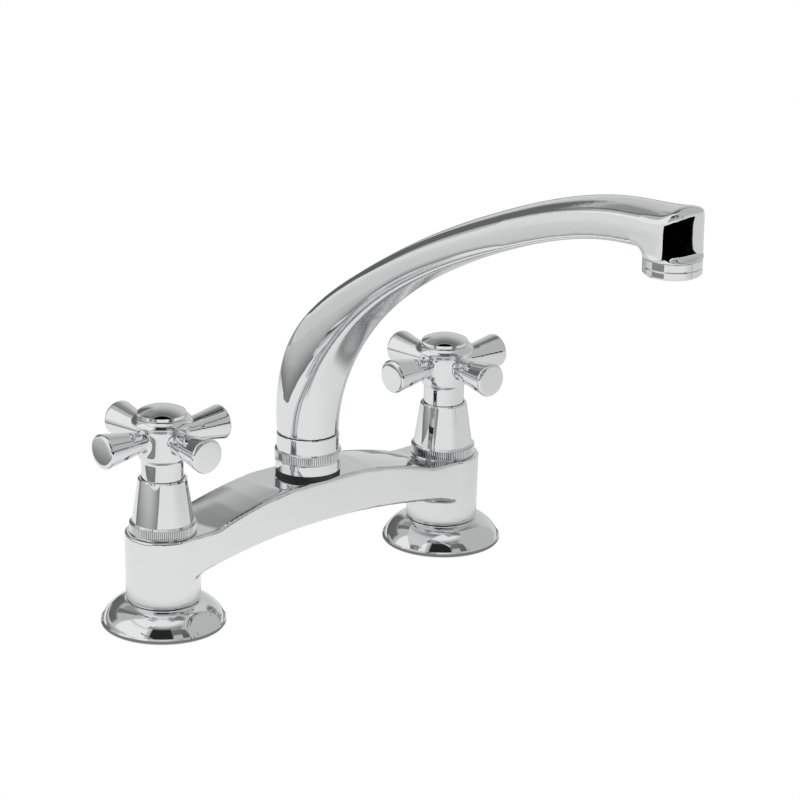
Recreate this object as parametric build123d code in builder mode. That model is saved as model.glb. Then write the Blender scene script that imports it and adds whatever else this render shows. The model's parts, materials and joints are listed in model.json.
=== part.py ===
from build123d import *
from math import cos, radians, sin, sqrt
import os

# Two-handle kitchen bridge mixer with a cast swivel spout.
# The origin is on the deck, midway between the inlets: +X runs to the right post, -Y to the front.

os.makedirs("parts", exist_ok=True)

# Clearances
slip = 0.05            # radial room of a screwed, pushed-in or running fit
gap = 0.3              # room between pieces that move past each other
deck = 0.0             # height of the deck's top face

# Body: two posts and an arched bridge
inlet_centres = 180.0
post_foot_r = 18.2
post_top_r = 18.6
post_height = 35.0
post_spigot_r = 15.0
post_spigot_length = 9.4
bridge_waist = 16.6    # half the bridge's width, midway between the posts
bridge_end_inset = 0.2 # the bridge's side lies this far inside the foot of the post
table_height = 57.2    # flat on top of the bridge, above the deck
arch_crest = 0.9       # the arch's edge would rise this far above the flat
arch_radius = 225.0
arch_crown = 1.2       # the arch is rounded from front to back by this much
shoulder_blend = 30.0  # hollow radius between the arch and the level shoulders at the posts
under_height = 35.9    # underside of the bridge at the middle
under_radius = 390.0
under_blend = 3.0      # hollow radius between the underside and the posts
edge_round = 1.0
boss_r = 13.0
boss_height = 8.8
waterway_r = 4.5
waterway_mid_height = 44.5
waterway_end_height = 33.0
chamber_floor_height = 40.0

# Deck fixing
flange_r = 30.4
flange_foot_r = 29.9
flange_lip = 2.0
flange_height = 12.4
flange_rim_r = 18.8
flange_rim_height = 0.3
flange_bulge = 1.6
gasket_r = 27.0
gasket_thickness = 1.5
deck_thickness = 20.0
washer_r = 23.0
washer_thickness = 2.0
lock_nut_flats = 38.0
lock_nut_height = 9.0
shank_r = 13.2
shank_length = 42.0
tail_r = 10.48
tail_length = 18.0
inlet_bore_r = 7.0
inlet_screw_length = 12.0

# Headwork: a quarter-turn ceramic cartridge in each post
headwork_r = 10.48
headwork_depth = 24.0
headwork_thread = 10.8
seat_bore_r = 4.6
seat_seal_thickness = 2.4
seat_seal_proud = 1.2
barrel_r = 8.6
barrel_bore_r = 7.4
disc_thickness = 3.0
disc_port_r = 1.9
spindle_foot_r = 6.6
spindle_foot_height = 4.0
spindle_r = 4.0
spline_r = 3.6
headwork_flange_r = 13.5
headwork_flange_height = 4.6
headwork_flats = 20.0
headwork_hex_height = 6.0
headwork_neck_r = 7.5
headwork_neck_height = 12.0
stem_ring_section_r = 0.9
clip_r = 5.6
clip_thickness = 0.9
clip_depth = 0.6

# Bonnet
knurl_r = 16.0
knurl_height = 5.8
bonnet_foot_r = 15.0
bonnet_top_r = 11.9
bonnet_height = 27.6
bonnet_mouth = 3.5
bonnet_edge = 0.7

# Cross handle
neck_r = 10.3
neck_showing = 9.8
neck_hidden = 2.5
neck_wall = 2.1
hub_r = 12.2
hub_rim_r = 15.1
hub_height = 21.6
hub_rim_height = 3.9
hub_shoulder = 3.2
hub_shoulder_r = 12.2
hub_shoulder_round = 6.0
hub_rim_cove = 2.9
hub_floor = 4.0
hub_recess_r = 9.0
hub_recess_depth = 5.4
spoke_height = 10.4    # spoke axis above the foot of the hub
spoke_count = 4
spoke_root_r = 4.9
spoke_end_r = 8.7
spoke_reach = 35.9
spoke_dome = 0.25
spoke_rim = 0.9
socket_depth = 11.0
cap_r = 11.8
cap_edge = 1.5
cap_dome = 3.0
cap_wall = 1.1
cap_skirt = 3.4
screw_head_r = 4.5
screw_head_height = 2.5
screw_r = 2.0
screw_length = 12.0

# Spout joint
seal_r = 16.1
seal_thickness = 2.2
nut_r = 16.35
nut_top_r = 15.5
nut_height = 18.7
nut_lip_height = 7.9
nut_groove = 0.8
nut_band_low = 5.2     # heights of the nut's two grooves above its foot
nut_band_high = 10.4
stem_r = 11.5
stem_bore_r = 8.5
stem_inside_body = 16.5
stem_inside_spout = 13.6
o_ring_section_r = 0.75
o_ring_first = 3.4     # heights of the two rings above the foot of the stem
o_ring_second = 8.4
split_ring_depth = 0.6
split_ring_r = 12.6
split_ring_thickness = 1.9
split_ring_mouth = 6.0

# Spout
spout_base_r = 15.1
spout_tip_half_width = 12.6
spout_waist_half_height = 8.0
spout_tip_half_height = 9.1
spout_wall = 4.4
spout_reach = 244.5    # from the swivel axis to the outlet axis
spout_nose = 9.9       # from the outlet axis to the front face
spout_nose_corner = 7.0
spout_tip_height = 242.0
spout_shoulder = (0.1415, 0.4499)  # points of its line, as shares of its length forward and of its rise
spout_middle = (0.4206, 0.7359)
spout_forearm = (0.7311, 0.9309)
spout_end_rise = 0.12
spout_front_round = 3.5
spout_stations = 10
section_corner = 30.0  # degrees either side of level over which a section's side is one arc
width_taper = 62.0     # distances along the spout over which its section changes
height_taper = 76.0
tip_taper = 148.0
square_taper = 52.0
taper_power = 4        # how suddenly it changes there
base_roundness = 0.995 # share of a true circle in the section at the base
top_squareness = 13.0
nose_squareness = 5.5  # of the top at the front
low_squareness = 7.0
spout_crown = 4.9      # the top is rounded across by this much
tip_flatness = 1.8     # and by this much less at the front
front_power = 16       # what changes at the front comes on only near it
outlet_drop = 16.0     # from the spout's line at the front down to the outlet face
outlet_pad_r = 13.3
outlet_pad_height = 1.3
outlet_flare = 6.0     # hollow radius that blends the outlet into the arm
outlet_bore_r = 8.0

# Aerator
aerator_r = 13.0
aerator_height = 7.3
aerator_groove = 0.4
aerator_thread_r = 11.0
aerator_thread_length = 3.2
aerator_lip = 1.0
aerator_mouth_r = 9.6
aerator_washer_thickness = 1.0
aerator_hole_r = 1.1
aerator_hole_count = 12

# Levels worked out from the stack of pieces
half_centres = inlet_centres / 2
flange_top = deck + flange_height
post_top = flange_top + post_height
post_foot = flange_top - post_spigot_length
seat = post_top - headwork_depth
bonnet_top = post_top + bonnet_height
hub_foot = bonnet_top + neck_showing
hub_top = hub_foot + hub_height
recess_floor = hub_top - hub_recess_depth
socket_top = recess_floor - hub_floor
socket_foot = socket_top - socket_depth
spoke_axis_height = hub_foot + spoke_height
disc_foot = seat + seat_seal_thickness
moving_disc_foot = disc_foot + disc_thickness + gap
spindle_foot = moving_disc_foot + disc_thickness
barrel_ceiling = spindle_foot + spindle_foot_height + gap
headwork_hex_foot = post_top + headwork_flange_height
headwork_neck_foot = headwork_hex_foot + headwork_hex_height
headwork_top = headwork_neck_foot + headwork_neck_height
table = deck + table_height
boss_top = table + boss_height
nut_foot = table + seal_thickness
nut_top = nut_foot + nut_height
nut_lip_foot = nut_top - nut_lip_height
spout_foot = nut_top + gap
stem_foot = table + boss_height - stem_inside_body
stem_top = spout_foot + stem_inside_spout
chamber_floor = deck + chamber_floor_height
spout_tip = deck + spout_tip_height
outlet = spout_tip - outlet_drop
aerator_foot = outlet - aerator_height


def upright(x):
    """Plane through the vertical axis at x: its x is the radius there and its y the height."""
    return Plane(origin=(x, 0, 0), x_dir=(1, 0, 0), z_dir=(0, -1, 0))


def turn(x, *points, y=0.0, mode=Mode.ADD):
    """Turn a profile of (radius, height) points about the vertical axis at (x, y)."""
    with BuildSketch(Plane(origin=(x, y, 0), x_dir=(1, 0, 0), z_dir=(0, -1, 0))) as profile:
        with BuildLine():
            Polyline(*points, close=True)
        make_face()
    revolve(profile.sketch, axis=Axis((x, y, 0), (0, 0, 1)), mode=mode)


def bore(x, radius, low, high, y=0.0):
    """Cut a round hole on the vertical axis at (x, y)."""
    with BuildSketch(Plane(origin=(x, y, low))) as hole:
        Circle(radius)
    extrude(hole.sketch, amount=high - low, mode=Mode.SUBTRACT)


def ring(x, inner, outer, low, high, y=0.0):
    """Add a plain ring on the vertical axis at (x, y)."""
    with BuildSketch(Plane(origin=(x, y, low))) as face:
        Circle(outer)
        Circle(inner, mode=Mode.SUBTRACT)
    extrude(face.sketch, amount=high - low)


def o_ring(x, major, minor, height):
    """Add a ring of round section about the vertical axis at x."""
    with BuildSketch(upright(x)) as section:
        with Locations((major, height)):
            Circle(minor)
    revolve(section.sketch, axis=Axis((x, 0, 0), (0, 0, 1)))


def dome_radius(rim, rise):
    """Radius of the sphere that a low dome is cut from."""
    return (rim ** 2 + rise ** 2) / (2 * rise)


def save(sub_part, name):
    """Name a finished piece and write it."""
    sub_part.part.label = name
    export_step(sub_part.part, f"parts/{name}.step")


# Body: the arch is a crowned ring, hollowed below, with level shoulders, trimmed to the bridge's plan
bridge_end = post_foot_r - bridge_end_inset
arch_edge = table + arch_crest
arch_floor = deck + under_height - post_height
arch_centre = arch_edge - arch_radius
shoulder_start = sqrt((arch_radius + shoulder_blend) ** 2 - (post_top + shoulder_blend - arch_centre) ** 2)
arch_share = arch_radius / (arch_radius + shoulder_blend)
arch_end = (shoulder_start * arch_share,
            arch_centre + (post_top + shoulder_blend - arch_centre) * arch_share)
blend_r = post_foot_r + under_blend
under_end = deck + under_height - under_radius + sqrt(under_radius ** 2 - (half_centres - blend_r) ** 2)
with BuildPart() as bridge_body:
    with BuildSketch(Plane.YZ):
        with BuildLine():
            Polyline((-bridge_end, arch_edge), (-bridge_end, arch_floor), (bridge_end, arch_floor),
                     (bridge_end, arch_edge))
            ThreePointArc((bridge_end, arch_edge), (0, arch_edge + arch_crown), (-bridge_end, arch_edge))
        make_face()
    revolve(axis=Axis((0, 0, arch_centre), (0, 1, 0)))
    with BuildSketch(Plane.XZ):
        with Locations((0, deck + under_height - under_radius)):
            Circle(under_radius)
    extrude(amount=post_top_r, both=True, mode=Mode.SUBTRACT)
    with BuildSketch(Plane.XZ):
        with BuildLine():
            Polyline((shoulder_start, post_top), (half_centres, post_top),
                     (half_centres, deck + under_height), (arch_end[0], deck + under_height), arch_end)
            RadiusArc(arch_end, (shoulder_start, post_top), -shoulder_blend)
        make_face()
        mirror(about=Plane.YZ)
    extrude(amount=bridge_end, both=True)
    for x in (-half_centres, half_centres):
        with BuildSketch(upright(x)):
            with BuildLine():
                Polyline((post_foot_r, under_end - under_blend), (post_spigot_r, under_end - under_blend),
                         (post_spigot_r, under_end + edge_round), (blend_r, under_end + edge_round),
                         (blend_r, under_end))
                RadiusArc((blend_r, under_end), (post_foot_r, under_end - under_blend), under_blend)
            make_face()
        revolve(axis=Axis((x, 0, 0), (0, 0, 1)))
    with BuildSketch(Plane.XY.offset(arch_floor)):
        with BuildLine():
            ThreePointArc((-half_centres, -bridge_end), (0, -bridge_waist), (half_centres, -bridge_end))
            Line((half_centres, -bridge_end), (half_centres, bridge_end))
            ThreePointArc((half_centres, bridge_end), (0, bridge_waist), (-half_centres, bridge_end))
            Line((-half_centres, bridge_end), (-half_centres, -bridge_end))
        make_face()
    extrude(amount=table - arch_floor, mode=Mode.INTERSECT)
    side_edges = bridge_body.edges().filter_by(lambda edge: abs(edge.center().Y) > bridge_waist - edge_round)
    side_edges = side_edges.filter_by(lambda edge: edge.length > half_centres
                                      or edge.center().Z > post_top - edge_round)
    fillet(side_edges, edge_round)
    for x in (-half_centres, half_centres):
        turn(x, (0, post_foot), (post_spigot_r, post_foot), (post_spigot_r, flange_top),
             (post_foot_r, flange_top), (post_top_r, post_top), (0, post_top))
        bore(x, post_top_r, post_top, table)
    ring(0, stem_r + slip, boss_r, table - edge_round, boss_top)
    for x in (-half_centres, half_centres):
        bore(x, headwork_r + slip, seat, post_top)
        bore(x, seat_bore_r, post_foot, seat)
        bore(x, tail_r + slip, post_foot, post_foot + inlet_screw_length)
    bore(0, stem_r + slip, chamber_floor, boss_top)
    with BuildLine() as waterway:
        ThreePointArc((-half_centres + barrel_r, 0, deck + waterway_end_height),
                      (0, 0, deck + waterway_mid_height),
                      (half_centres - barrel_r, 0, deck + waterway_end_height))
    with BuildSketch(Plane(origin=waterway.line @ 0, z_dir=waterway.line % 0)):
        Circle(waterway_r)
    sweep(path=waterway.line, mode=Mode.SUBTRACT)
save(bridge_body, "bridge_body")

for side, x in (("left", -half_centres), ("right", half_centres)):
    # Escutcheon: a domed flange between the post and the deck, with a recess for its gasket
    dome_start = (flange_r - flange_lip / 3, deck + flange_lip + flange_lip / 3)
    dome_end = (flange_rim_r, flange_top - flange_rim_height)
    dome_middle = ((dome_start[0] + dome_end[0]) / 2 + flange_bulge / 2,
                   (dome_start[1] + dome_end[1]) / 2 + flange_bulge)
    with BuildPart() as escutcheon:
        with BuildSketch(upright(x)):
            with BuildLine():
                ThreePointArc(dome_start, dome_middle, dome_end)
                Polyline(dome_end, (flange_rim_r, flange_top), (post_spigot_r + slip, flange_top),
                         (post_spigot_r + slip, deck + gasket_thickness),
                         (gasket_r + slip, deck + gasket_thickness), (gasket_r + slip, deck),
                         (flange_foot_r, deck), (flange_r, deck + flange_lip / 3),
                         (flange_r, deck + flange_lip), dome_start)
            make_face()
        revolve(axis=Axis((x, 0, 0), (0, 0, 1)))
    save(escutcheon, f"escutcheon_{side}")

    with BuildPart() as deck_gasket:
        ring(x, post_spigot_r + slip, gasket_r, deck, deck + gasket_thickness)
    save(deck_gasket, f"deck_gasket_{side}")

    # Inlet shank: screwed into the post, with the fixing thread and a smaller tail for the supply
    with BuildPart() as inlet_shank:
        ring(x, inlet_bore_r, tail_r, post_foot, post_foot + inlet_screw_length)
        ring(x, inlet_bore_r, shank_r, deck - shank_length, post_foot)
        ring(x, inlet_bore_r, tail_r, deck - shank_length - tail_length, deck - shank_length)
    save(inlet_shank, f"inlet_shank_{side}")

    clamp_foot = deck - deck_thickness - washer_thickness
    with BuildPart() as clamp_washer:
        ring(x, shank_r + gap, washer_r, clamp_foot, deck - deck_thickness)
    save(clamp_washer, f"clamp_washer_{side}")

    with BuildPart() as lock_nut:
        with BuildSketch(Plane(origin=(x, 0, clamp_foot - lock_nut_height))):
            RegularPolygon(lock_nut_flats / 2, 6, major_radius=False)
            Circle(shank_r + slip, mode=Mode.SUBTRACT)
        extrude(amount=lock_nut_height)
    save(lock_nut, f"lock_nut_{side}")

    # Headwork body: barrel, thread, flange that carries the bonnet, hexagon and neck
    with BuildPart() as cartridge_body:
        turn(x, (0, seat + seat_seal_proud), (barrel_r, seat + seat_seal_proud),
             (barrel_r, post_top - headwork_thread), (headwork_r, post_top - headwork_thread),
             (headwork_r, post_top), (headwork_flange_r, post_top), (headwork_flange_r, headwork_hex_foot),
             (headwork_neck_r, headwork_hex_foot), (headwork_neck_r, headwork_top), (0, headwork_top))
        with BuildSketch(Plane(origin=(x, 0, headwork_hex_foot))):
            RegularPolygon(headwork_flats / 2, 6, major_radius=False)
        extrude(amount=headwork_hex_height)
        bore(x, barrel_bore_r, seat, barrel_ceiling)
        bore(x, spindle_r + slip, barrel_ceiling, headwork_top)
        ring_room = spindle_r + stem_ring_section_r + slip
        bore(x, ring_room, headwork_neck_foot, headwork_neck_foot + 4 * stem_ring_section_r)
        with BuildSketch(Plane(origin=(x, 0, moving_disc_foot + disc_thickness), z_dir=(0, 1, 0))):
            Circle(disc_thickness)
        extrude(amount=headwork_r, both=True, mode=Mode.SUBTRACT)
    save(cartridge_body, f"cartridge_body_{side}")

    with BuildPart() as seat_seal:
        ring(x, seat_bore_r, barrel_bore_r - slip, seat, disc_foot)
    save(seat_seal, f"seat_seal_{side}")

    # Ceramic discs: two ports each, which a quarter turn closes
    port_circle = (seat_bore_r + disc_port_r) / 2
    with BuildPart() as fixed_disc:
        with BuildSketch(Plane(origin=(x, 0, disc_foot))):
            Circle(barrel_bore_r - slip)
            with PolarLocations(port_circle, 2):
                Circle(disc_port_r, mode=Mode.SUBTRACT)
        extrude(amount=disc_thickness)
    save(fixed_disc, f"fixed_disc_{side}")

    with BuildPart() as moving_disc:
        with BuildSketch(Plane(origin=(x, 0, moving_disc_foot))):
            Circle(barrel_bore_r - gap)
            with PolarLocations(port_circle, 2, start_angle=90):
                Circle(disc_port_r, mode=Mode.SUBTRACT)
        extrude(amount=disc_thickness)
    save(moving_disc, f"moving_disc_{side}")

    # Spindle: drives the moving disc, with grooves for its ring and clip and a tapped end
    stem_ring_height = headwork_neck_foot + 2 * stem_ring_section_r
    clip_foot = headwork_top + gap
    with BuildPart() as spindle:
        turn(x, (0, spindle_foot), (spindle_foot_r, spindle_foot),
             (spindle_foot_r, spindle_foot + spindle_foot_height),
             (spindle_r, spindle_foot + spindle_foot_height),
             (spindle_r, stem_ring_height - stem_ring_section_r),
             (spindle_r - stem_ring_section_r, stem_ring_height - stem_ring_section_r),
             (spindle_r - stem_ring_section_r, stem_ring_height + stem_ring_section_r),
             (spindle_r, stem_ring_height + stem_ring_section_r), (spindle_r, clip_foot),
             (spindle_r - clip_depth, clip_foot), (spindle_r - clip_depth, clip_foot + clip_thickness),
             (spindle_r, clip_foot + clip_thickness), (spindle_r, socket_foot), (spline_r, socket_foot),
             (spline_r, socket_top), (0, socket_top))
        bore(x, screw_r + slip, socket_top - screw_length, socket_top)
    save(spindle, f"spindle_{side}")

    with BuildPart() as stem_o_ring:
        o_ring(x, spindle_r, stem_ring_section_r, stem_ring_height)
    save(stem_o_ring, f"stem_o_ring_{side}")

    with BuildPart() as spindle_clip:
        ring(x, spindle_r - clip_depth, clip_r, clip_foot, clip_foot + clip_thickness)
        with BuildSketch(Plane(origin=(x, 0, clip_foot))):
            with Locations((clip_r, 0)):
                Rectangle(2 * clip_r, 2 * clip_depth + spindle_r)
        extrude(amount=clip_thickness, mode=Mode.SUBTRACT)
    save(spindle_clip, f"spindle_clip_{side}")

    # Bonnet: a thin tapered shroud, screwed on the headwork's flange by its knurled ring
    bonnet_bore = headwork_flange_r + slip
    mouth_r = neck_r + gap
    with BuildPart() as bonnet:
        turn(x, (bonnet_bore, post_top), (knurl_r, post_top),
             (knurl_r, post_top + knurl_height - bonnet_edge),
             (knurl_r - bonnet_edge, post_top + knurl_height), (bonnet_foot_r, post_top + knurl_height),
             (bonnet_top_r, bonnet_top - bonnet_edge), (bonnet_top_r - bonnet_edge, bonnet_top),
             (mouth_r, bonnet_top), (mouth_r, bonnet_top - bonnet_mouth),
             (bonnet_bore, headwork_hex_foot + bonnet_edge))
    save(bonnet, f"bonnet_{side}")

    # Cross handle: neck, hub with a sloped shoulder over a coved rim, and four flared spokes
    cove_foot = hub_top - hub_rim_height - hub_rim_cove
    cove_depth = hub_rim_r - hub_r
    with BuildPart() as handle:
        with BuildSketch(upright(x)):
            with BuildLine():
                RadiusArc((hub_shoulder_r, hub_top), (hub_rim_r, hub_top - hub_shoulder), hub_shoulder_round)
                Polyline((hub_rim_r, hub_top - hub_shoulder), (hub_rim_r, hub_top - hub_rim_height))
                Polyline((hub_shoulder_r, hub_top), (0, hub_top), (0, bonnet_top - neck_hidden),
                         (neck_r, bonnet_top - neck_hidden), (neck_r, hub_foot),
                         (hub_r - spoke_rim, hub_foot), (hub_r, hub_foot + spoke_rim), (hub_r, cove_foot))
                ThreePointArc((hub_r, cove_foot),
                              (hub_rim_r - cove_depth * sqrt(0.5), cove_foot + hub_rim_cove * sqrt(0.5)),
                              (hub_rim_r, hub_top - hub_rim_height))
            make_face()
        revolve(axis=Axis((x, 0, 0), (0, 0, 1)))
        for quarter in range(spoke_count):
            angle = radians(360 / spoke_count * quarter)
            along = Vector(cos(angle), sin(angle), 0)
            spoke_plane = Plane(origin=(x, 0, spoke_axis_height), x_dir=along, z_dir=(along.Y, -along.X, 0))
            with BuildSketch(spoke_plane):
                with BuildLine():
                    Polyline((spoke_reach + spoke_dome, 0), (hub_recess_r, 0), (hub_recess_r, spoke_root_r),
                             (hub_r, spoke_root_r), (spoke_reach - spoke_rim, spoke_end_r),
                             (spoke_reach, spoke_end_r - spoke_rim))
                    RadiusArc((spoke_reach, spoke_end_r - spoke_rim), (spoke_reach + spoke_dome, 0),
                              dome_radius(spoke_end_r - spoke_rim, spoke_dome))
                make_face()
            revolve(axis=Axis((x, 0, spoke_axis_height), along))
        bore(x, neck_r - neck_wall, bonnet_top - neck_hidden, socket_foot)
        bore(x, spline_r + slip, socket_foot, socket_top)
        bore(x, screw_r + gap, socket_top, recess_floor)
        bore(x, hub_recess_r, recess_floor, hub_top)
    save(handle, f"handle_{side}")

    with BuildPart() as handle_screw:
        turn(x, (0, socket_top - screw_length), (screw_r, socket_top - screw_length),
             (screw_r, recess_floor), (screw_head_r, recess_floor),
             (screw_head_r, recess_floor + screw_head_height / 2),
             (screw_head_r / 2, recess_floor + screw_head_height), (0, recess_floor + screw_head_height))
        with BuildSketch(Plane(origin=(x, 0, recess_floor + screw_head_height))):
            Rectangle(screw_head_r, screw_r / 2)
            Rectangle(screw_r / 2, screw_head_r)
        extrude(amount=-screw_head_height / 2, mode=Mode.SUBTRACT)
    save(handle_screw, f"handle_screw_{side}")

    # Index cap: a low dome on a skirt pushed into the hub
    cap_lip = hub_top + cap_edge
    with BuildPart() as index_cap:
        with BuildSketch(upright(x)):
            with BuildLine():
                RadiusArc((0, cap_lip + cap_dome), (cap_r, cap_lip), dome_radius(cap_r, cap_dome))
                Polyline((0, cap_lip + cap_dome), (0, cap_lip), (hub_recess_r - slip - cap_wall, cap_lip),
                         (hub_recess_r - slip - cap_wall, hub_top - cap_skirt),
                         (hub_recess_r - slip, hub_top - cap_skirt), (hub_recess_r - slip, hub_top),
                         (cap_r, hub_top), (cap_r, cap_lip))
            make_face()
        revolve(axis=Axis((x, 0, 0), (0, 0, 1)))
    save(index_cap, f"index_cap_{side}")

# Spout joint: seal, collar nut, stem, its rings and the split ring under the nut's lip
with BuildPart() as nut_seal:
    ring(0, boss_r + slip, seal_r, table, nut_foot)
save(nut_seal, "nut_seal")

groove_low = nut_foot + nut_band_low
groove_high = nut_foot + nut_band_high
with BuildPart() as spout_nut:
    turn(0, (boss_r + slip, nut_foot), (nut_r - nut_groove / 2, nut_foot),
         (nut_r, nut_foot + nut_groove / 2), (nut_r, groove_low),
         (nut_r - nut_groove, groove_low + nut_groove / 2),
         (nut_r, groove_low + nut_groove), (nut_r, groove_high),
         (nut_r - nut_groove, groove_high + nut_groove / 2), (nut_top_r, groove_high + nut_groove),
         (nut_top_r, nut_top - nut_groove / 2), (nut_top_r - nut_groove / 2, nut_top),
         (stem_r + gap, nut_top), (stem_r + gap, nut_lip_foot), (boss_r + slip, nut_lip_foot))
save(spout_nut, "spout_nut")

split_ring_top = nut_lip_foot - gap
split_ring_foot = split_ring_top - split_ring_thickness
ring_heights = (stem_foot + o_ring_first, stem_foot + o_ring_second)
o_ring_floor = stem_r - slip - 2 * o_ring_section_r
with BuildPart() as spout_stem:
    ring(0, stem_bore_r, stem_r, stem_foot, stem_top)
    for height in ring_heights:
        turn(0, (o_ring_floor, height - o_ring_section_r), (stem_r, height - o_ring_section_r),
             (stem_r, height + o_ring_section_r), (o_ring_floor, height + o_ring_section_r),
             mode=Mode.SUBTRACT)
    turn(0, (stem_r - split_ring_depth, split_ring_foot), (stem_r, split_ring_foot),
         (stem_r, split_ring_top), (stem_r - split_ring_depth, split_ring_top), mode=Mode.SUBTRACT)
save(spout_stem, "spout_stem")

with BuildPart() as spout_o_rings:
    for height in ring_heights:
        o_ring(0, o_ring_floor + o_ring_section_r, o_ring_section_r, height)
save(spout_o_rings, "spout_o_rings")

with BuildPart() as split_ring:
    ring(0, stem_r - split_ring_depth, split_ring_r, split_ring_foot, split_ring_top)
    with BuildSketch(Plane.XY.offset(split_ring_foot)):
        with Locations((0, split_ring_r)):
            Rectangle(split_ring_mouth, split_ring_r)
    extrude(amount=split_ring_thickness, mode=Mode.SUBTRACT)
save(split_ring, "split_ring")

# Spout: a loft from the round base to the flat, crowned arm, along one smooth line, with a rounded nose
spout_front = -spout_reach - spout_nose
spout_rise = spout_tip - spout_foot
bends = [(0, spout_front * forward, spout_foot + spout_rise * up)
         for forward, up in (spout_shoulder, spout_middle, spout_forearm)]
with BuildLine():
    spout_line = Spline((0, 0, spout_foot), *bends, (0, spout_front, spout_tip),
                        tangents=((0, 0, 1), (0, -1, spout_end_rise)))
spout_length = spout_line.length


def fade(distance, taper):
    """One at the spout's base, falling to nothing well past the taper."""
    return 1 / (1 + (distance / taper) ** taper_power)


def spout_outline(distance, degrees, wall):
    """Point of the section at a distance along the spout, at an angle round it, inside a wall."""
    round_share = base_roundness * fade(distance, square_taper)
    half_width = spout_tip_half_width + (spout_base_r - spout_tip_half_width) * fade(distance, width_taper)
    tip_share = 1 - fade(distance, tip_taper)
    half_height = (spout_waist_half_height + (spout_tip_half_height - spout_waist_half_height) * tip_share
                   + (spout_base_r - spout_waist_half_height) * fade(distance, height_taper))
    near_front = (distance / spout_length) ** front_power
    top_square = top_squareness + (nose_squareness - top_squareness) * near_front
    square = top_square if degrees % 360 < 180 else low_squareness
    power = 2 / (2 + (square - 2) * (1 - round_share))
    across = round(cos(radians(degrees)), 9)
    up = round(sin(radians(degrees)), 9)
    x = (half_width - wall) * abs(across) ** power * (1 if across > 0 else -1)
    y = (half_height - wall) * abs(up) ** power * (1 if up > 0 else -1)
    crown = spout_crown * tip_share - tip_flatness * near_front
    if up > 0:
        y = y * (1 - crown / half_height * (x / half_width) ** 2)
    return x, y


def spout_loft(start, stop, wall, mode):
    """Loft sections of the spout between two shares of its length."""
    sections = []
    for station in range(spout_stations):
        share = start + (stop - start) * station / (spout_stations - 1)
        facing = Vector(0, -1, 0) if share == 1 else spout_line % share
        with BuildSketch(Plane(origin=spout_line @ share, x_dir=(1, 0, 0), z_dir=facing)) as section:
            with BuildLine():
                for quarter in range(4):
                    first = 90 * quarter - section_corner
                    second = 90 * quarter + section_corner
                    for low, high in ((first, second), (second, first + 90)):
                        ThreePointArc(*(spout_outline(share * spout_length, angle, wall)
                                        for angle in (low, (low + high) / 2, high)))
            make_face()
        sections.append(section.sketch)
    loft(sections, mode=mode)


pad_top = outlet + outlet_pad_height
flare_r = outlet_pad_r + outlet_flare
crown_radius = dome_radius(spout_tip_half_width, spout_crown - tip_flatness)
nose_half_height = spout_outline(spout_length, 90, 0)[1]
nose_top = spout_tip + nose_half_height - spout_end_rise * spout_front_round
with BuildPart() as spout:
    with BuildSketch(Plane(origin=(0, -spout_reach, 0), x_dir=(1, 0, 0), z_dir=(0, -1, 0))):
        with BuildLine():
            Polyline((flare_r, outlet + outlet_flare), (flare_r, spout_tip), (0, spout_tip), (0, outlet),
                     (outlet_pad_r, outlet))
            RadiusArc((outlet_pad_r, outlet), (flare_r, outlet + outlet_flare), outlet_flare)
        make_face()
    revolve(axis=Axis((0, -spout_reach, 0), (0, 0, 1)))
    with BuildSketch(Plane.XY.offset(pad_top)):
        with Locations((0, -spout_reach)):
            Rectangle(2 * (spout_tip_half_width - slip), 2 * flare_r)
    extrude(amount=spout_tip - pad_top, mode=Mode.INTERSECT)
    spout_loft(0, 1, 0, Mode.ADD)
    with BuildSketch(Plane.XY.offset(outlet)):
        with Locations((-spout_tip_half_width, spout_front), (spout_tip_half_width, spout_front)):
            Rectangle(2 * spout_nose_corner, 2 * spout_nose_corner)
        with Locations((0, spout_front - spout_nose_corner)):
            Rectangle(2 * spout_tip_half_width, 2 * spout_nose_corner)
        with Locations((spout_nose_corner - spout_tip_half_width, spout_front + spout_nose_corner),
                       (spout_tip_half_width - spout_nose_corner, spout_front + spout_nose_corner)):
            Circle(spout_nose_corner, mode=Mode.SUBTRACT)
    extrude(amount=spout_tip_height, mode=Mode.SUBTRACT)
    with BuildSketch(Plane(origin=(0, spout_front, nose_top), x_dir=(0, -1, 0), z_dir=(-1, 0, 0))):
        with BuildLine():
            Polyline((-spout_front_round, 0), (-spout_front_round, spout_front_round),
                     (spout_front_round, spout_front_round), (spout_front_round, -spout_front_round),
                     (0, -spout_front_round))
            RadiusArc((0, -spout_front_round), (-spout_front_round, 0), -spout_front_round)
        make_face()
    revolve(axis=Axis((0, 0, nose_top - crown_radius), (0, 1, 0)), mode=Mode.SUBTRACT)
    ring(0, outlet_bore_r, outlet_pad_r, outlet, outlet + outlet_pad_height, y=-spout_reach)
    ring(0, outlet_bore_r, aerator_thread_r, outlet - aerator_thread_length, outlet, y=-spout_reach)
    spout_loft(stem_inside_spout / spout_length, spout_reach / -spout_front, spout_wall, Mode.SUBTRACT)
    bore(0, stem_r + slip, spout_foot, stem_top)
    bore(0, outlet_bore_r, outlet, spout_tip, y=-spout_reach)
save(spout, "spout")

# Aerator: shell screwed over the outlet, with the stream former and its washer inside
groove = aerator_foot + aerator_height / 2
insert_foot = aerator_foot + aerator_lip
insert_top = outlet - aerator_thread_length - aerator_washer_thickness
with BuildPart() as aerator_shell:
    turn(0, (aerator_mouth_r, aerator_foot), (aerator_r - aerator_lip, aerator_foot),
         (aerator_r, aerator_foot + aerator_lip), (aerator_r, groove - aerator_groove),
         (aerator_r - aerator_groove, groove), (aerator_r, groove + aerator_groove), (aerator_r, outlet),
         (aerator_thread_r + slip, outlet), (aerator_thread_r + slip, insert_foot),
         (aerator_mouth_r, insert_foot), y=-spout_reach)
save(aerator_shell, "aerator_shell")

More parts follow.
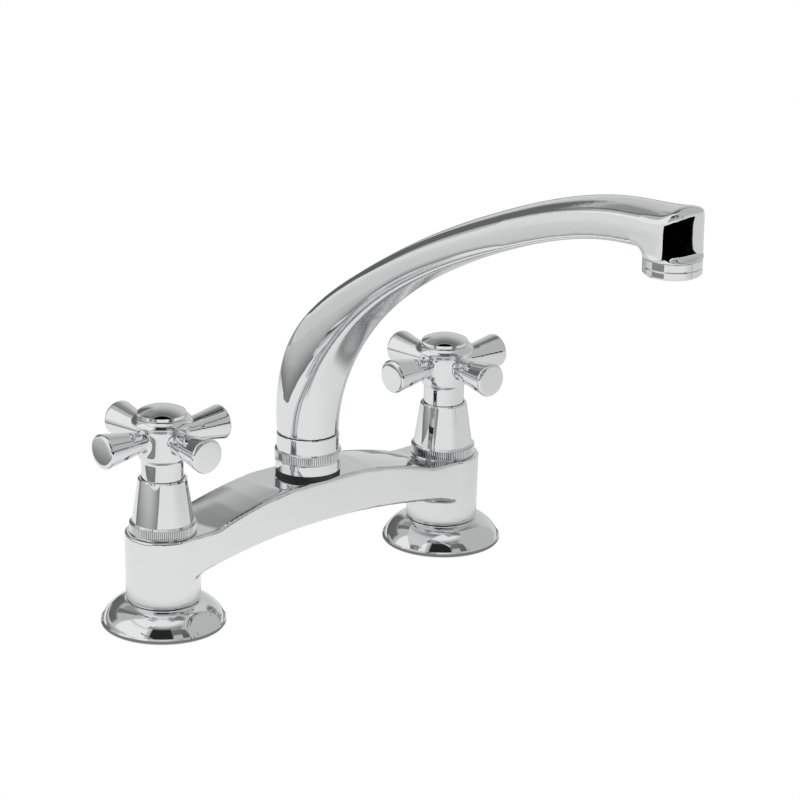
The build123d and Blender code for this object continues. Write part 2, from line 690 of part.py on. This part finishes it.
with BuildPart() as aerator_insert:
    with BuildSketch(Plane(origin=(0, -spout_reach, insert_foot))):
        Circle(aerator_thread_r)
        for circle, count in ((aerator_mouth_r * 3 / 4, aerator_hole_count),
                              (aerator_mouth_r * 3 / 8, aerator_hole_count / 2)):
            with PolarLocations(circle, int(count)):
                Circle(aerator_hole_r, mode=Mode.SUBTRACT)
    extrude(amount=insert_top - insert_foot)
save(aerator_insert, "aerator_insert")

washer_top = insert_top + aerator_washer_thickness
with BuildPart() as aerator_washer:
    ring(0, outlet_bore_r, aerator_thread_r, insert_top, washer_top, y=-spout_reach)
save(aerator_washer, "aerator_washer")
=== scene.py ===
import json
import math

import bpy
from mathutils import Matrix, Vector


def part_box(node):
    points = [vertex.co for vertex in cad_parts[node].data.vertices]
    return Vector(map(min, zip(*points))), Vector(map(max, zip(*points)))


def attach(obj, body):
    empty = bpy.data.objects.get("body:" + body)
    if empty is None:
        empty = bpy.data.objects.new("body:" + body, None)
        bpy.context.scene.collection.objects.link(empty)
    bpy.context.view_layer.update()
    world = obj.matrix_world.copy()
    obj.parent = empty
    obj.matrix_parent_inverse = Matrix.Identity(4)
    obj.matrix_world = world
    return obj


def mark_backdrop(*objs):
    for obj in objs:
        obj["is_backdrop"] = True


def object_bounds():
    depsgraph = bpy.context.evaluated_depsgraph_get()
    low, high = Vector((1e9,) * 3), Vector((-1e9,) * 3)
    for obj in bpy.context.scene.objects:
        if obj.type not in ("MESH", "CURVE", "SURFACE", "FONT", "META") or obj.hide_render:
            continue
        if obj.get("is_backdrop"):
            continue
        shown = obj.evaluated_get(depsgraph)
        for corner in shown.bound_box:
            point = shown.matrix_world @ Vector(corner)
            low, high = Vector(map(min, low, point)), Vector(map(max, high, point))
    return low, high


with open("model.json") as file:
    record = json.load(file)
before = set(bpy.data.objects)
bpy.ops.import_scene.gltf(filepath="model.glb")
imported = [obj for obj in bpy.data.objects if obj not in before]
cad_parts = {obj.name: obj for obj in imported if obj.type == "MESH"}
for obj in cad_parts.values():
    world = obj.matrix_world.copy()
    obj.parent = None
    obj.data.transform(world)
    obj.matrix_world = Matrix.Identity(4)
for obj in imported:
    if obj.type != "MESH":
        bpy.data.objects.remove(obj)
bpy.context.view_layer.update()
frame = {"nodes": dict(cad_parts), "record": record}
nodes = frame["nodes"]
slots = {row["node"]: row["material_slot"] for row in frame["record"]["subparts"]}
collection = bpy.context.scene.collection
sides = ("left", "right")


# Node material helpers
class Paint:
    """A node material in the making: a principled shader and the textures that feed it."""

    def __init__(self, name):
        self.material = bpy.data.materials.new(name)
        self.material.use_nodes = True
        self.tree = self.material.node_tree
        self.shader = self.tree.nodes["Principled BSDF"]
        self.place = self.tree.nodes.new("ShaderNodeTexCoord").outputs["Object"]

    def node(self, kind, **inputs):
        made = self.tree.nodes.new(kind)
        for key, value in inputs.items():
            made.inputs[key.replace("_", " ")].default_value = value
        return made

    def link(self, source, target):
        self.tree.links.new(source, target)

    def constants(self, **values):
        for key, value in values.items():
            self.shader.inputs[key.replace("_", " ")].default_value = value

    def noise(self, scale, detail=4.0, stretch=(1, 1, 1)):
        """Cloudy variation of so many features a metre, drawn out by stretch."""
        texture = self.node("ShaderNodeTexNoise", Scale=scale, Detail=detail)
        if stretch == (1, 1, 1):
            self.link(self.place, texture.inputs["Vector"])
        else:
            mapping = self.node("ShaderNodeMapping", Scale=stretch)
            self.link(self.place, mapping.inputs["Vector"])
            self.link(mapping.outputs["Vector"], texture.inputs["Vector"])
        return texture.outputs["Fac"]

    def spread(self, source, low, high, target):
        """Send a texture to a shader input, as values from low to high."""
        ramp = self.node("ShaderNodeMapRange", From_Min=0.3, From_Max=0.7, To_Min=low, To_Max=high)
        self.link(source, ramp.inputs["Value"])
        self.link(ramp.outputs["Result"], self.shader.inputs[target])

    def tint(self, source, first, second):
        """Send a texture to the base colour, as a blend of two colours."""
        ramp = self.tree.nodes.new("ShaderNodeValToRGB")
        for element, position, colour in zip(ramp.color_ramp.elements, (0.3, 0.7), (first, second)):
            element.position = position
            element.color = (*colour, 1)
        self.link(source, ramp.inputs["Fac"])
        self.link(ramp.outputs["Color"], self.shader.inputs["Base Color"])

    def bump(self, source, strength, depth):
        made = self.node("ShaderNodeBump", Strength=strength, Distance=depth)
        self.link(source, made.inputs["Height"])
        self.link(made.outputs["Normal"], self.shader.inputs["Normal"])


# Finishes
def plating(name):
    """Bright chrome, with faint clouds in its colour and faint waves in its face."""
    paint = Paint(name)
    paint.constants(Metallic=1.0)
    paint.tint(paint.noise(22, 3), (0.775, 0.78, 0.785), (0.795, 0.8, 0.805))
    paint.bump(paint.noise(70, 2), 0.02, 0.0001)
    return paint


def chrome():
    paint = plating("chrome_plate")
    paint.spread(paint.noise(140, 6), 0.012, 0.035, "Roughness")
    return paint.material


def cast_chrome():
    """Plating on a casting, less well polished where it faces down."""
    paint = plating("cast_chrome")
    facing = paint.node("ShaderNodeSeparateXYZ")
    paint.link(paint.node("ShaderNodeNewGeometry").outputs["Normal"], facing.inputs["Vector"])
    under = paint.node("ShaderNodeMapRange", From_Min=-0.05, From_Max=-0.4, To_Min=0.02, To_Max=0.14)
    paint.link(facing.outputs["Z"], under.inputs["Value"])
    paint.link(under.outputs["Result"], paint.shader.inputs["Roughness"])
    return paint.material


def knurled_chrome_painted_shade():
    """Plating with painted shade: dark colour between the ribs, where shade falls, and bright on their
    crests.
    """
    paint = Paint("knurled_chrome_painted_shade")
    paint.constants(Metallic=1.0)
    crest = paint.node("ShaderNodeAttribute")
    crest.attribute_name = "crest"
    # Painted shade: the grooves get a dark colour, the crests the bright plating colour
    paint.tint(crest.outputs["Fac"], (0.22, 0.22, 0.225), (0.8, 0.805, 0.81))
    paint.spread(paint.noise(900, 4), 0.05, 0.16, "Roughness")
    paint.bump(paint.noise(400, 2), 0.03, 0.0001)
    return paint.material


def bare_brass(name):
    """Clouded brass without plating, a little rough."""
    paint = Paint(name)
    paint.constants(Metallic=1.0)
    paint.tint(paint.noise(90, 5), (0.60, 0.43, 0.17), (0.74, 0.56, 0.26))
    paint.spread(paint.noise(260, 6), 0.2, 0.38, "Roughness")
    return paint


def brass():
    """Brass with the fine rings that turning leaves."""
    paint = bare_brass("turned_brass")
    paint.bump(paint.noise(900, 2, (0.05, 0.05, 3.0)), 0.25, 0.0001)
    return paint.material


def threaded_brass(pitch):
    """Brass with the rings of a screw thread, so far apart in metres."""
    paint = bare_brass("threaded_brass")
    rings = paint.node("ShaderNodeTexWave", Scale=math.pi / 10 / pitch)
    rings.bands_direction = "Z"
    paint.link(paint.place, rings.inputs["Vector"])
    paint.bump(rings.outputs["Fac"], 0.8, 0.0008)
    return paint.material


def rubber():
    paint = Paint("moulded_rubber")
    paint.tint(paint.noise(180, 6), (0.012, 0.012, 0.013), (0.03, 0.03, 0.031))
    paint.spread(paint.noise(320, 5), 0.5, 0.78, "Roughness")
    paint.bump(paint.noise(1500, 3), 0.2, 0.0001)
    return paint.material


def ceramic():
    paint = Paint("lapped_ceramic")
    paint.tint(paint.noise(60, 5), (0.86, 0.86, 0.82), (0.92, 0.92, 0.9))
    paint.spread(paint.noise(400, 4), 0.12, 0.24, "Roughness")
    paint.bump(paint.noise(2500, 2), 0.05, 0.00005)
    return paint.material


def steel():
    paint = Paint("stamped_steel")
    paint.constants(Metallic=1.0)
    paint.tint(paint.noise(120, 5), (0.5, 0.5, 0.51), (0.64, 0.64, 0.65))
    paint.spread(paint.noise(240, 6, (1, 8, 1)), 0.26, 0.46, "Roughness")
    paint.bump(paint.noise(1200, 3, (0.2, 4, 1)), 0.2, 0.0001)
    return paint.material


def plastic():
    paint = Paint("moulded_plastic")
    paint.tint(paint.noise(150, 4), (0.74, 0.74, 0.72), (0.84, 0.84, 0.82))
    paint.spread(paint.noise(300, 5), 0.35, 0.55, "Roughness")
    paint.bump(paint.noise(1800, 3), 0.1, 0.00005)
    return paint.material


thread_pitch = 0.0018
finishes = {"chrome": chrome(), "brass": brass(), "rubber": rubber(), "ceramic": ceramic(),
            "steel": steel(), "plastic": plastic()}
knurl_finish_painted_shade = knurled_chrome_painted_shade()
for name, node in nodes.items():
    node.data.materials.clear()
    node.data.materials.append(finishes[slots[name]])
nodes["spout"].data.materials[0] = cast_chrome()
thread_finish = threaded_brass(thread_pitch)
for side in sides:
    nodes[f"inlet_shank_{side}"].data.materials[0] = thread_finish


# Castings get an even skin with eased edges, so that they shade smoothly
def even_skin(name, voxel, rounds):
    skin = nodes[name].modifiers.new("skin", "REMESH")
    skin.mode = "VOXEL"
    skin.voxel_size = voxel
    skin.use_smooth_shade = True
    edges = nodes[name].modifiers.new("edges", "SMOOTH")
    edges.factor = 0.5
    edges.iterations = rounds


def polish(name, rounds, spans):
    """Even out a skin further by nodes, as far as each span of (axis, none, full) lets a point take part."""
    tree = bpy.data.node_groups.new("polishing", "GeometryNodeTree")
    for way in ("INPUT", "OUTPUT"):
        tree.interface.new_socket("Geometry", in_out=way, socket_type="NodeSocketGeometry")
    here = tree.nodes.new("GeometryNodeInputPosition").outputs["Position"]
    split = tree.nodes.new("ShaderNodeSeparateXYZ")
    tree.links.new(here, split.inputs["Vector"])
    even = tree.nodes.new("GeometryNodeBlurAttribute")
    even.data_type = "FLOAT_VECTOR"
    even.inputs["Iterations"].default_value = rounds
    weight = None
    for axis, none, full in spans:
        share = tree.nodes.new("ShaderNodeMapRange")
        share.inputs["From Min"].default_value = none
        share.inputs["From Max"].default_value = full
        tree.links.new(split.outputs[axis], share.inputs["Value"])
        if weight is None:
            weight = share.outputs["Result"]
        else:
            both = tree.nodes.new("ShaderNodeMath")
            both.operation = "MULTIPLY"
            tree.links.new(weight, both.inputs[0])
            tree.links.new(share.outputs["Result"], both.inputs[1])
            weight = both.outputs["Value"]
    shift = tree.nodes.new("GeometryNodeSetPosition")
    tree.links.new(here, even.inputs["Value"])
    tree.links.new(weight, even.inputs["Weight"])
    tree.links.new(tree.nodes.new("NodeGroupInput").outputs["Geometry"], shift.inputs["Geometry"])
    tree.links.new(even.outputs["Value"], shift.inputs["Position"])
    tree.links.new(shift.outputs["Geometry"], tree.nodes.new("NodeGroupOutput").inputs["Geometry"])
    nodes[name].modifiers.new("polish", "NODES").node_group = tree


even_skin("bridge_body", voxel=0.0008, rounds=8)

# The spout is polished on its rise, clear of its foot, and then on its nose, clear of its outlet
even_skin("spout", voxel=0.0007, rounds=5)
spout_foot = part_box("spout")[0].z
polish("spout", rounds=34, spans=(("Y", -0.15, -0.06), ("Z", spout_foot + 0.003, spout_foot + 0.03)))
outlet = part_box("aerator_shell")[1].z
polish("spout", rounds=20, spans=(("Y", -0.236, -0.246), ("Z", outlet + 0.003, outlet + 0.012)))

# The handles are polished round the hub, where the spokes join it
hub_full = 0.015
hub_none = 0.021
for side in sides:
    even_skin(f"handle_{side}", voxel=0.00045, rounds=12)
    low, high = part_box(f"handle_{side}")
    middle = (low.x + high.x) / 2
    polish(f"handle_{side}", rounds=24, spans=(
        ("Z", high.z - 0.0035, high.z - 0.006), ("Z", low.z + 0.012, low.z + 0.015),
        ("X", middle - hub_none, middle - hub_full), ("X", middle + hub_none, middle + hub_full),
        ("Y", -hub_none, -hub_full), ("Y", hub_none, hub_full)))

# Knurling
knurl_ribs = 104
knurl_sink = 0.00002   # the grooves lie this far inside the ring


def knurled_band(name, centre, radius, low, high, depth, body):
    """A band of fine sharp upright ribs round a ring, bevelled at both edges."""
    steps = knurl_ribs * 2
    points = []
    crests = []
    for height, share in ((low, 0.0), (low + depth, 1.0), (high - depth, 1.0), (high, 0.0)):
        for i in range(steps):
            angle = 2 * math.pi * i / steps
            crest = share * (i % 2)
            r = radius + depth * crest
            points.append((centre[0] + r * math.cos(angle), centre[1] + r * math.sin(angle), height))
            crests.append(crest)
    faces = []
    for start in range(0, len(points) - steps, steps):
        for i in range(steps):
            j = (i + 1) % steps
            faces.append((start + i, start + j, start + steps + j, start + steps + i))
    mesh = bpy.data.meshes.new(name)
    mesh.from_pydata(points, [], faces)
    # The crest share also sets the painted shade, dark in the grooves
    mesh.attributes.new("crest", "FLOAT", "POINT").data.foreach_set("value", crests)
    mesh.materials.append(knurl_finish_painted_shade)
    piece = bpy.data.objects.new(name, mesh)
    collection.objects.link(piece)
    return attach(piece, body)


def ring_of(node):
    """Axis, largest radius and foot of a round node that stands upright."""
    low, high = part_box(node)
    return ((low.x + high.x) / 2, (low.y + high.y) / 2), (high.x - low.x) / 2, low.z


for side in sides:
    axis, radius, foot = ring_of(f"bonnet_{side}")
    knurled_band(f"bonnet_{side}_knurl", axis, radius - knurl_sink,
                 low=foot + 0.0003, high=foot + 0.0051, depth=0.0004, body="base")

axis, radius, foot = ring_of("spout_nut")
knurled_band("spout_nut_knurl", axis, radius - knurl_sink,
             low=foot + 0.0061, high=foot + 0.0103, depth=0.0003, body="base")


# Studio: a white floor and backdrop, and a tent of grey and white walls that only the plating shows
class Glow:
    """Node helper for things that only shine: the floor, the cards and the tent."""

    def __init__(self, tree, kind):
        self.tree = tree
        self.shader = tree.nodes.new(kind)

    def node(self, kind, **settings):
        made = self.tree.nodes.new(kind)
        for key, value in settings.items():
            setattr(made, key, value)
        return made

    def feed(self, made, *sources):
        """Fill a node's inputs in turn with links or with plain numbers, and give its output."""
        for socket, source in zip(made.inputs, sources):
            if hasattr(source, "is_linked"):
                self.tree.links.new(source, socket)
            else:
                socket.default_value = source
        return made.outputs[0]

    def math(self, operation, *sources):
        return self.feed(self.node("ShaderNodeMath", operation=operation), *sources)

    def ramp(self, source, start, end, first=0.0, last=1.0):
        """A value that goes smoothly from first to last while the source goes from start to end."""
        made = self.node("ShaderNodeMapRange", interpolation_type="SMOOTHSTEP")
        return self.feed(made, source, start, end, first, last)

    def blend(self, below, above, mask):
        """Above laid over below where the mask is 1."""
        difference = self.math("SUBTRACT", above, below)
        return self.math("MULTIPLY_ADD", difference, mask, below)

    def shine(self, value):
        if hasattr(value, "is_linked"):
            self.tree.links.new(value, self.shader.inputs["Strength"])
        else:
            self.shader.inputs["Strength"].default_value = value


def glow(name):
    """A material that only shines, and the position that its shade can follow."""
    material = bpy.data.materials.new(name)
    material.use_nodes = True
    tree = material.node_tree
    tree.nodes.remove(tree.nodes["Principled BSDF"])
    light = Glow(tree, "ShaderNodeEmission")
    tree.links.new(light.shader.outputs["Emission"], tree.nodes["Material Output"].inputs["Surface"])
    place = tree.nodes.new("ShaderNodeTexCoord").outputs["Object"]
    split = tree.nodes.new("ShaderNodeSeparateXYZ")
    tree.links.new(place, split.inputs["Vector"])
    return material, light, split.outputs


def stage_mesh(name, points, faces, material, seen=False):
    """A piece of the studio that either the camera sees or the plating shows."""
    mesh = bpy.data.meshes.new(name)
    mesh.from_pydata(points, [], faces)
    mesh.materials.append(material)
    made = bpy.data.objects.new(name, mesh)
    collection.objects.link(made)
    made.visible_camera = seen
    made.visible_glossy = not seen
    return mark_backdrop(made)


def around(angle, radius, centre):
    """The point at a compass angle in degrees: 0 at the front, 90 at the right."""
    turn = math.radians(angle)
    return centre[0] + radius * math.sin(turn), centre[1] - radius * math.cos(turn)


def floor_square(name, height, material, seen):
    points = [(x, y, height) for x, y in floor_corners]
    return stage_mesh(name, points, [(0, 1, 2, 3)], material, seen)


def hanging_arc(name, centre, radius, start, end, low, high, strength):
    """A strip bent round a vertical axis, between two compass angles."""
    material, light, _ = glow(name)
    light.shine(strength)
    steps = 48
    points = []
    for i in range(steps + 1):
        x, y = around(start + (end - start) * i / steps, radius, centre)
        points += [(x, y, low), (x, y, high)]
    faces = [(2 * i, 2 * i + 1, 2 * i + 3, 2 * i + 2) for i in range(steps)]
    return stage_mesh(name, points, faces, material)


def standing_wall(name, foot, top, height, material, seen=False):
    """A wall that stands on the floor along one line, with another line as its upper edge."""
    points = [(x, y, 0.0) for x, y in foot] + [(x, y, height) for x, y in top]
    count = len(foot)
    faces = [(i, i + 1, count + i + 1, count + i) for i in range(count - 1)]
    return stage_mesh(name, points, faces, material, seen)


# The floor that the camera sees is white, with a white backdrop; the one in the plating is shaded
floor_half = 6.0
floor_corners = [(x * floor_half, y * floor_half) for x, y in ((-1, -1), (1, -1), (1, 1), (-1, 1))]
material, light, _ = glow("floor")
light.shine(1.0)
floor_square("floor", height=-0.0003, material=material, seen=True)
backdrop = (*floor_corners, floor_corners[0])
standing_wall("backdrop", backdrop, backdrop, floor_half, material, seen=True)

material, light, place = glow("floor_in_plating")
level = light.ramp(place["X"], -0.1, 0.3, 0.91, 0.74)
beside = light.math("MULTIPLY", light.ramp(place["X"], 0.08, 0.2), light.ramp(place["Y"], 0.0, 0.08))
level = light.blend(level, 0.62, beside)
beyond = light.math("MULTIPLY", light.ramp(place["X"], -0.26, -0.36), light.ramp(place["Y"], -0.2, 0.0))
level = light.blend(level, light.ramp(place["X"], -0.3, -0.8, 0.68, 0.85), beyond)
behind = light.math("MULTIPLY", light.ramp(place["X"], -0.35, -0.2), light.ramp(place["Y"], 0.3, 0.5))
level = light.blend(level, 0.35, behind)
floor_square("floor_in_plating", height=0.0005, material=material, seen=False)

# Painted shadow: the floor in the plating is darker close round each flange
shade_width = 0.03
for side in sides:
    axis, radius, _ = ring_of(f"escutcheon_{side}")
    across = light.math("SUBTRACT", place["X"], axis[0])
    away = light.math("SUBTRACT", place["Y"], axis[1])
    squares = light.math("MULTIPLY_ADD", across, across, light.math("MULTIPLY", away, away))
    shade = light.ramp(light.math("SQRT", squares), radius, radius + shade_width, 0.25, 1.0)
    level = light.math("MULTIPLY", level, shade)
light.shine(level)

# Dark strips that the nose of the spout and the aerator show
tip_low, tip_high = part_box("aerator_shell")
tip = ((tip_low.x + tip_high.x) / 2, (tip_low.y + tip_high.y) / 2)
hanging_arc("strip_before_tip", tip, radius=0.5, start=-96, end=46, low=0.082, high=0.165, strength=0.0)
hanging_arc("strip_left_of_tip", tip, radius=0.35, start=-128, end=-76, low=0.109, high=0.1255, strength=0.28)

# A low grey wall at the left, which the rise of the spout shows
wall_height = 0.055
material, light, place = glow("wall_left")
rising = light.ramp(place["Z"], 0.0, wall_height, 0.22, 0.62)
light.shine(light.math("MULTIPLY", rising, light.ramp(place["Y"], -0.2, 0.02, 0.4, 1.0)))
wall_back = ((-0.27, 0.1), (-0.22, 0.2), (-0.18, 0.3), (-0.12, 0.38), (0.0, 0.45))
standing_wall("wall_left", ((-0.29, -0.04), *wall_back), ((-0.31, -0.2), *wall_back), wall_height, material)

# A seam of the tent, which stands as a thin dark line in the upright pieces
material, light, _ = glow("tent_seam")
light.shine(0.2)
seam = ((0.304, -0.726), (0.316, -0.714))
standing_wall("tent_seam", seam, seam, height=0.35, material=material)

# The tent: walls, softboxes and gaps by compass angle and by height above the horizon, in degrees
world = bpy.data.worlds.new("tent")
bpy.context.scene.world = world
world.use_nodes = True
tree = world.node_tree
tent = Glow(tree, "ShaderNodeBackground")
tree.nodes.remove(tree.nodes["Background"])
tree.links.new(tent.shader.outputs["Background"], tree.nodes["World Output"].inputs["Surface"])
heading = tree.nodes.new("ShaderNodeSeparateXYZ")
tree.links.new(tree.nodes.new("ShaderNodeTexCoord").outputs["Generated"], heading.inputs["Vector"])
front = tent.math("MULTIPLY", heading.outputs["Y"], -1.0)
compass = tent.math("DEGREES", tent.math("ARCTAN2", heading.outputs["X"], front))
height = tent.math("DEGREES", tent.math("ARCSINE", heading.outputs["Z"]))


def tent_patch(below, middle, half, low, high, soft, at_low, at_high):
    """A soft-edged part of the tent, with its brightness at its lower and at its upper edge."""
    turn = tent.math("ABSOLUTE", tent.math("WRAP", tent.math("SUBTRACT", compass, middle), 180.0, -180.0))
    within = tent.ramp(turn, half + soft, half - soft)
    foot = tent.ramp(height, low - soft, low + soft)
    top = tent.ramp(height, high + soft, high - soft)
    mask = tent.math("MULTIPLY", within, tent.math("MULTIPLY", foot, top))
    return tent.blend(below, tent.ramp(height, low, high, at_low, at_high), mask)


# Middle and half width, lower and upper edge, softness, and brightness at the lower and the upper edge
patches = (
    (140, 40, -5, 20, 6, 0.92, 0.82),     # back wall
    (140, 40, 20, 65, 4, 0.82, 0.2),      # back wall, darker towards its top
    (85, 28, 66, 82, 3, 0.28, 0.3),       # grey strip beside the ceiling
    (180, 27, -5, 28, 4, 0.16, 0.2),      # dark corner, left at the back
    (165, 10, 33, 57, 4, 0.42, 0.36),     # and its grey side, further up
    (-178, 7, 28, 57, 3, 0.22, 0.22),     # and its seam, up to the ceiling
    (146, 42, 65, 80, 1.5, 0.0, 0.0),     # gap under the ceiling
    (-108, 40, 54, 90, 4, 1.2, 1.15),     # ceiling at the left
    (-108, 34, -4, 51, 4, 1.22, 1.22),    # softbox at the left
    (-32, 50, 55, 64, 3, 0.3, 0.6),       # ceiling before the camera
    (-35, 32, -5, 20, 4, 0.6, 0.5),       # front wall
    (-5, 14, 33, 53, 4, 0.22, 0.24),      # grey beside the opening
    (7, 7, 14, 46, 2, 0.16, 0.2),         # fold in the tent
    (-42, 24, 22, 56, 3, 0.03, 0.03),     # dark opening round the camera
)
level = tent.ramp(height, 60.0, 74.0, 0.69, 1.15)   # walls and ceiling
for patch in patches:
    level = tent_patch(level, *patch)
tent.shine(level)

# Camera, as the photograph was taken
azimuth = math.radians(-41.133)
elevation = math.radians(19.097)
roll = math.radians(1.014)
distance = 1.626672
aside = 0.045362
above = 0.090066
back = Vector((math.sin(azimuth) * math.cos(elevation), -math.cos(azimuth) * math.cos(elevation),
               math.sin(elevation)))
right = (-back).cross(Vector((0, 0, 1))).normalized()
up = right.cross(-back)
eye = right * aside + up * above + back * distance
right, up = right * math.cos(roll) + up * math.sin(roll), up * math.cos(roll) - right * math.sin(roll)
camera = bpy.data.objects.new("camera", bpy.data.cameras.new("camera"))
collection.objects.link(camera)
camera.matrix_world = Matrix((
    (right.x, up.x, back.x, eye.x),
    (right.y, up.y, back.y, eye.y),
    (right.z, up.z, back.z, eye.z),
    (0, 0, 0, 1)))
camera.data.sensor_width = 36.0
camera.data.lens = 145.147
camera.data.clip_end = 100.0
bpy.context.scene.camera = camera
bpy.context.scene.view_settings.view_transform = "Standard"

low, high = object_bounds()
